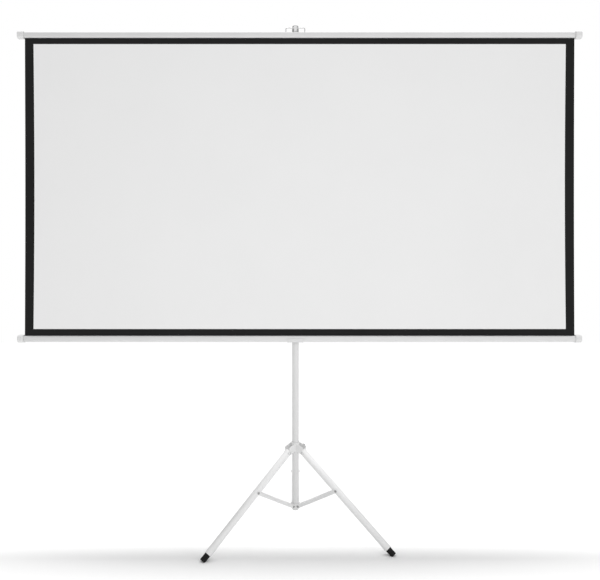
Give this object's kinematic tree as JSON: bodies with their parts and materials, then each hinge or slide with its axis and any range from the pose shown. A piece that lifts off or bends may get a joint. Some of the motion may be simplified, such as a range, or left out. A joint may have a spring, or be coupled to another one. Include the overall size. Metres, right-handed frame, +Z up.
{
  "type": "tripod projection screen",
  "caption": "Portable projection screen: a wide white sheet with black borders pulled up from a slim roller case and hooked to a telescopic mast on a folding tripod.",
  "frame": {"origin": "on the floor, under the middle of the whole outline", "axes": "+Z up, the mast's own direction; the picture faces -Y; +X to the right seen from the picture side"},
  "size_m": [2.362, 0.6973, 2.1765],
  "materials": {
    "silver_paint": "satin",
    "white_paint": "satin",
    "grey_plastic": "matte",
    "black_plastic": "matte",
    "zinc": "satin",
    "spring_steel": "satin",
    "rubber": "matte",
    "screen_cloth": "matte"
  },
  "bodies": {
    "mast": {"mast_tube": "silver_paint", "mast_end_plug": "grey_plastic", "mast_clamp": "grey_plastic", "carriage_stop": "zinc", "brace_bracket": "silver_paint", "brace_pin_left": "zinc", "brace_pin_right": "zinc", "brace_pin_rear": "zinc"},
    "upper_mast": {"upper_tube": "silver_paint", "upper_end_plug": "black_plastic", "hook_cap": "grey_plastic", "top_slat": "silver_paint", "slat_cap_left": "grey_plastic", "slat_cap_right": "grey_plastic", "hem_rod": "black_plastic", "bail": "zinc", "bail_clip_left": "zinc", "bail_clip_right": "zinc", "screen_fabric": "screen_cloth"},
    "carriage": {"carriage_sleeve": "grey_plastic", "case_saddle": "white_paint", "case_pivot_bolt": "zinc", "case_shell": "white_paint", "case_cap_left": "grey_plastic", "case_cap_right": "grey_plastic", "spring_spindle": "zinc", "idler_pin": "zinc", "roller_spring": "spring_steel"},
    "roller": {"roller_tube": "zinc", "roller_plug_left": "black_plastic", "roller_plug_right": "black_plastic", "fabric_wraps": "screen_cloth"},
    "hub": {"leg_hub": "silver_paint", "leg_pin_left": "zinc", "leg_pin_right": "zinc", "leg_pin_rear": "zinc"},
    "clamp_screw": {"clamp_knob": "black_plastic", "clamp_stud": "zinc"},
    "carriage_screw": {"carriage_knob": "black_plastic", "carriage_stud": "zinc"},
    "hub_screw": {"hub_knob": "black_plastic", "hub_stud": "zinc"},
    "leg_left": {"leg_left": "silver_paint", "foot_left": "rubber"},
    "brace_left": {"brace_left": "silver_paint"},
    "leg_right": {"leg_right": "silver_paint", "foot_right": "rubber"},
    "brace_right": {"brace_right": "silver_paint"},
    "leg_rear": {"leg_rear": "silver_paint", "foot_rear": "rubber"},
    "brace_rear": {"brace_rear": "silver_paint"}
  },
  "joints": [
    {"name": "mast_slide", "type": "slide", "parent": "mast", "child": "upper_mast", "axis": [0, 0, 1], "range_m": [-0.93, 0], "deforming": ["screen_fabric"]},
    {"name": "carriage_slide", "type": "slide", "parent": "mast", "child": "carriage", "axis": [0, 0, 1], "range_m": [0, 0.25], "deforming": ["screen_fabric"]},
    {"name": "roller_turn", "type": "hinge", "parent": "carriage", "child": "roller", "pos_m": [0, -0.12792, 0.849], "axis": [1, 0, 0], "continuous": true},
    {"name": "hub_slide", "type": "slide", "parent": "mast", "child": "hub", "axis": [0, 0, 1], "range_m": [0, 0.16969]},
    {"name": "leg_left_hinge", "type": "hinge", "parent": "hub", "child": "leg_left", "pos_m": [-0.05108, -0.11421, 0.365], "axis": [0.5621, -0.8271, 0], "range_deg": [0, 47.4]},
    {"name": "brace_left_hinge", "type": "hinge", "parent": "mast", "child": "brace_left", "pos_m": [-0.03413, -0.10268, 0.138], "axis": [-0.5621, 0.8271, 0], "range_deg": [0, 56.67]},
    {"name": "leg_right_hinge", "type": "hinge", "parent": "hub", "child": "leg_right", "pos_m": [0.01801, -0.10913, 0.365], "axis": [0.4352, 0.9003, 0], "range_deg": [0, 47.4]},
    {"name": "brace_right_hinge", "type": "hinge", "parent": "mast", "child": "brace_right", "pos_m": [-0.00044, -0.10021, 0.138], "axis": [-0.4352, -0.9003, 0], "range_deg": [0, 56.67]},
    {"name": "leg_rear_hinge", "type": "hinge", "parent": "hub", "child": "leg_rear", "pos_m": [-0.01828, -0.05172, 0.365], "axis": [-1, -0.007, 0], "range_deg": [0, 47.4]},
    {"name": "brace_rear_hinge", "type": "hinge", "parent": "mast", "child": "brace_rear", "pos_m": [-0.01814, -0.07222, 0.138], "axis": [1, 0.007, 0], "range_deg": [0, 56.67]},
    {"name": "clamp_knob_turn", "type": "hinge", "parent": "mast", "child": "clamp_screw", "pos_m": [-0.018, -0.05572, 1.199], "axis": [0, 1, 0], "range_deg": [0, 180]},
    {"name": "carriage_knob_turn", "type": "hinge", "parent": "carriage", "child": "carriage_screw", "pos_m": [-0.018, -0.05372, 0.8615], "axis": [0, 1, 0], "range_deg": [0, 180]},
    {"name": "hub_knob_turn", "type": "hinge", "parent": "hub", "child": "hub_screw", "pos_m": [0.01412, -0.07142, 0.379], "axis": [0.8453, 0.5344, 0], "range_deg": [0, 180]}
  ],
  "couplings": [
    {"joint": "roller_turn", "follows": "mast_slide", "rad_per_m": -109.4},
    {"joint": "leg_left_hinge", "follows": "hub_slide", "rad_per_m": 4.8753},
    {"joint": "brace_left_hinge", "follows": "hub_slide", "rad_per_m": 5.8272},
    {"joint": "leg_right_hinge", "follows": "hub_slide", "rad_per_m": 4.8753},
    {"joint": "brace_right_hinge", "follows": "hub_slide", "rad_per_m": 5.8272},
    {"joint": "leg_rear_hinge", "follows": "hub_slide", "rad_per_m": 4.8753},
    {"joint": "brace_rear_hinge", "follows": "hub_slide", "rad_per_m": 5.8272}
  ]
}
